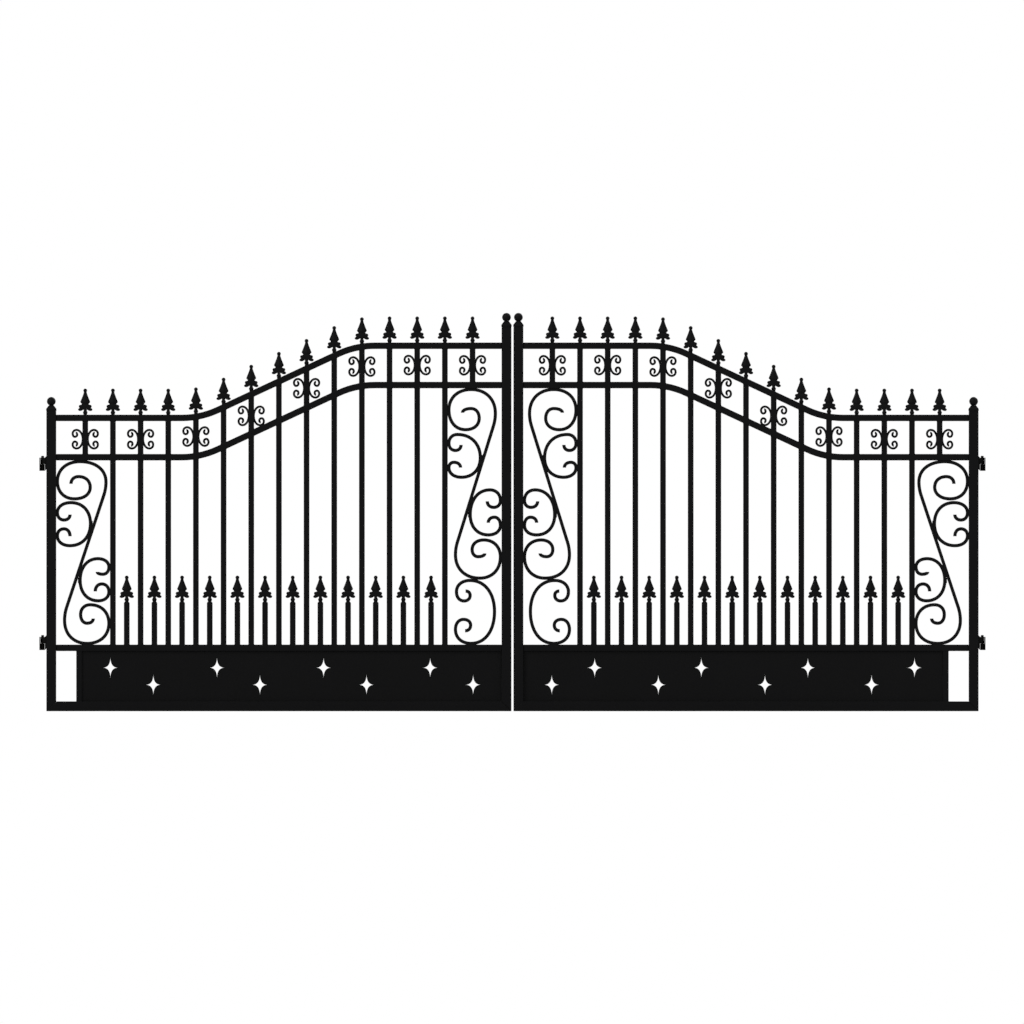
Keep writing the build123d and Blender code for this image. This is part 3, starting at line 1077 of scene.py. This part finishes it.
@dataclass
class StileFinials:
    """Cast ball finials with a square cap that sheds the rain."""

    ball: float = 17 * MM
    cap: float = 20 * MM
    edge: float = 8 * MM
    slope: float = 14 * MM
    neck: float = 9.5 * MM
    overlap: float = 3 * MM
    ball_arc: tuple[float, float] = (-62, 87)
    ball_steps: int = 16
    sides: int = 32
    arris: float = 1.2 * MM

    def build(self, leaf: Leaf, finish: bpy.types.Material) -> None:
        """Model one finial, stand it on both stiles of the left leaf and mirror them.

        Args:
            leaf: Places of the leaf.
            finish: Paint of the castings.
        """
        solids = [extent(part) for part in islands("left_stile_finials")]
        solids.sort(key=lambda corners: corners[0].x)
        places = [Vector(((low.x + high.x) / 2, leaf.depth, low.z)) for low, high in solids]
        height = solids[0][1].z - solids[0][0].z
        piece = copies("left_stile_finials_cast", self.pattern(height), places)
        leaf.both(piece, "stile_finials_cast", ["stile_finials"], finish)

    def pattern(self, height: float) -> bpy.types.Object:
        """One finial standing at the origin.

        Args:
            height: Height of the finial.

        Returns:
            The finial as one mesh.
        """
        half = self.cap * math.sqrt(2)
        top = self.neck * math.sqrt(2)
        turn = math.radians(45)
        rings = [(0, half, half), (self.edge, half, half), (self.edge + self.slope, top, top)]
        cap = column("finial_cap", 4, rings, turn)
        bevel(cap, self.arris, 3, 20)
        seat = (self.edge + self.slope - self.overlap, self.neck * 1.05, self.neck * 1.05)
        rings = ball_rings(height - self.ball, self.ball, *self.ball_arc, self.ball_steps)
        ball = column("finial_ball", self.sides, [seat, *rings])
        finial = join("finial", [cap, ball])
        smooth(finial, 40)
        return finial


@dataclass
class Hinges:
    """Lift-off hinges: bevelled eyes and brackets, a cap on each pin and welds along the tabs."""

    arris: float = 0.7 * MM
    cap_gap: float = 0.6 * MM
    cap_rings: tuple[tuple[float, float], ...] = (
        (0, 5.2), (0.6, 5.9), (3.6, 5.9), (4.9, 5.0), (5.8, 3.2), (6.1, 1.2),
    )
    cap_sides: int = 24
    weld_width: float = 4.5 * MM
    weld_end: float = 3 * MM

    def build(self, leaf: Leaf, finish: bpy.types.Material) -> None:
        """Finish the solids of both sides, then cap the pins and weld the tabs.

        Args:
            leaf: Places of the leaf.
            finish: Paint of the hinges.
        """
        for side in SIDES:
            eyes = softened(f"{side}_hinge_eyes", f"{side}_hinge_eyes_turned", self.arris)
            fix(eyes, [f"{side}_hinge_eyes"], f"{side}_leaf", finish)
            brackets = softened(f"{side}_hinge_brackets", f"{side}_hinge_brackets_sawn", self.arris)
            fix(brackets, [f"{side}_hinge_brackets"], "brackets", finish)
        solids = sorted(islands("left_hinge_eyes"), key=lambda part: extent(part)[0].z)
        caps, welds = [], []
        for level in Level:
            part = solids[level.value]
            low, high = extent(part)
            eye = (high.y - low.y) / 2
            seat = max(place.z for place in part if place.x < low.x + eye) + self.cap_gap
            rings = [(seat + up * MM, out * MM, out * MM) for up, out in self.cap_rings]
            cap = column("pin_cap", self.cap_sides, rings)
            cap.data.transform(Matrix.Translation((low.x + eye, (low.y + high.y) / 2, 0)))
            caps.append(cap)
            tab_low, tab_high = extent([place for place in part if place.x > high.x - MM])
            foot, head = tab_low.z + self.weld_end, tab_high.z - self.weld_end
            for y in (tab_low.y, tab_high.y):
                line = [(high.x, y, up) for up in (foot, (foot + head) / 2, head)]
                welds.append(bead("tab_weld", line, self.weld_width, closed=False))
        cap = join("left_pin_caps", caps)
        smooth(cap, 40)
        for side, one in zip(SIDES, (cap, reflected(cap, "right_pin_caps", leaf.middle))):
            fix(one, [], "brackets", finish)
        leaf.both(join("left_tab_welds", welds), "tab_welds", [], finish)


@dataclass
class WeldBeads:
    """Small weld beads where the upright bars meet the rails."""

    width: float = 3.4 * MM
    nodes: tuple[str, ...] = ("pickets", "frieze_bars", "dog_bars", "panel_upright")

    def build(self, leaf: Leaf, finish: bpy.types.Material) -> None:
        """Lay a bead round the ends of each bar of the left leaf and mirror them.

        Args:
            leaf: Places of the leaf.
            finish: Paint of the bars.
        """
        for node in self.nodes:
            rings = []
            for part in islands(f"left_{node}"):
                rings += self.rings(part, both_ends=node != "dog_bars")
            piece = join(f"left_{node}_welds", rings)
            leaf.both(piece, f"{node}_welds", [], finish)

    def rings(self, part: list[Vector], both_ends: bool) -> list[bpy.types.Object]:
        """Beads round the ends of one bar.

        Args:
            part: Corner places of the bar.
            both_ends: False if the bar stands free at its top.

        Returns:
            One ring of bead for each end.
        """
        low, high = extent(part)
        rings = []
        for pick in (min, max) if both_ends else (min,):
            left, right = (pick(place.z for place in part if abs(place.x - x) < NEAR) for x in (low.x, high.x))
            corners = [
                (low.x, low.y, left),
                (high.x, low.y, right),
                (high.x, high.y, right),
                (low.x, high.y, left),
            ]
            rings.append(bead("bar_weld", corners, self.width, closed=True))
        return rings


@dataclass
class Studio:
    """Square-on camera, plain floor and soft light."""

    photo_side: int = 1024
    pixel: float = 3.8664 * MM
    pier_pixel: float = 39.4
    foot_pixel: float = 711.21
    clearance: float = 50 * MM
    distance: float = 30.0
    floor_side: float = 90.0
    floor_colour: str = "#ececec"
    floor_roughness: float = 0.9
    sources: tuple[tuple[str, Triple, float], ...] = (
        ("front", (-3.5, -4, 4.2), 1.3),
        ("back", (3.5, 4, 4.2), 1.0),
    )
    spread: float = math.radians(22)
    fill: float = 0.5

    def build(self, leaf: Leaf) -> None:
        """Set up the camera, the floor, the lamps and the white surroundings.

        Args:
            leaf: Places of the leaf.
        """
        scene = bpy.context.scene
        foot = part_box("left_bottom_rail")[0][2]
        half = self.photo_side / 2
        across, up = (half - self.pier_pixel) * self.pixel, (self.foot_pixel - half) * self.pixel
        aim = Vector((across, leaf.depth, foot + up))
        camera = bpy.data.objects.new("camera", bpy.data.cameras.new("camera"))
        camera.data.type = "ORTHO"
        camera.data.ortho_scale = self.photo_side * self.pixel
        camera.location = aim + Vector((0, -self.distance, 0))
        camera.rotation_euler = (math.radians(90), 0, 0)
        scene.collection.objects.link(camera)
        scene.camera = camera
        self.floor(foot - self.clearance, aim)
        self.lamps(aim)
        self.surroundings()
        scene.view_settings.view_transform = "Standard"

    def floor(self, height: float, aim: Vector) -> None:
        """Pale floor below the leaves, in a plain matt finish.

        Args:
            height: Height of the floor.
            aim: Place that the camera looks at.
        """
        bpy.ops.object.select_all(action="DESELECT")
        bpy.ops.mesh.primitive_plane_add(size=self.floor_side, location=(aim.x, aim.y, height))
        floor = bpy.context.object
        floor.name = "floor"
        material = bpy.data.materials.new("pale_matt_floor")
        material.use_nodes = True
        shader = material.node_tree.nodes["Principled BSDF"]
        shader.inputs["Base Color"].default_value = linear(self.floor_colour)
        shader.inputs["Roughness"].default_value = self.floor_roughness
        floor.data.materials.append(material)

    def lamps(self, aim: Vector) -> None:
        """Soft and even lamps, in front and behind.

        Args:
            aim: Place that they shine at.
        """
        for name, place, power in self.sources:
            data = bpy.data.lights.new(name, "SUN")
            data.energy = power
            data.angle = self.spread
            lamp = bpy.data.objects.new(name, data)
            lamp.location = aim + Vector(place)
            lamp.rotation_euler = (aim - lamp.location).to_track_quat("-Z", "Y").to_euler()
            bpy.context.scene.collection.objects.link(lamp)

    def surroundings(self) -> None:
        """Surroundings that are white to the camera and in reflections, and softer as light."""
        world = bpy.data.worlds.new("white_studio")
        bpy.context.scene.world = world
        world.use_nodes = True
        tree = world.node_tree
        tree.nodes.clear()
        path = add_node(tree, "ShaderNodeLightPath", {}, {})
        shiny = add_node(
            tree,
            "ShaderNodeMath",
            {"operation": "MAXIMUM"},
            {0: path.outputs["Is Glossy Ray"], 1: path.outputs["Is Transmission Ray"]},
        )
        seen = add_node(
            tree,
            "ShaderNodeMath",
            {"operation": "MAXIMUM"},
            {0: path.outputs["Is Camera Ray"], 1: shiny.outputs[0]},
        )
        level = add_node(
            tree, "ShaderNodeMapRange", {"To Min": self.fill, "To Max": 1.0}, {"Value": seen.outputs[0]}
        )
        light = add_node(
            tree, "ShaderNodeBackground", {"Color": linear("#ffffff")}, {"Strength": level.outputs["Result"]}
        )
        add_node(tree, "ShaderNodeOutputWorld", {}, {"Surface": light.outputs["Background"]})


def main() -> None:
    """Build the gate's sub-assemblies in order and set up the studio."""
    logging.basicConfig(level=logging.INFO, format="%(message)s")
    bar, casting, scroll, sheet, hinge = (
        paint.make() for paint in (BAR_PAINT, CASTING_PAINT, SCROLL_PAINT, SHEET_PAINT, HINGE_PAINT)
    )
    leaf = Leaf()
    Studio().build(leaf)
    SquareBarwork().build(bar)
    WeldBeads().build(leaf, bar)
    SpearHeads().build(leaf, casting)
    StileFinials().build(leaf, casting)
    SideScrolls().build(leaf, scroll)
    FriezeScrolls().build(leaf, scroll)
    KickPanel().build(leaf, sheet)
    Hinges().build(leaf, hinge)


if __name__ == "__main__":
    main()
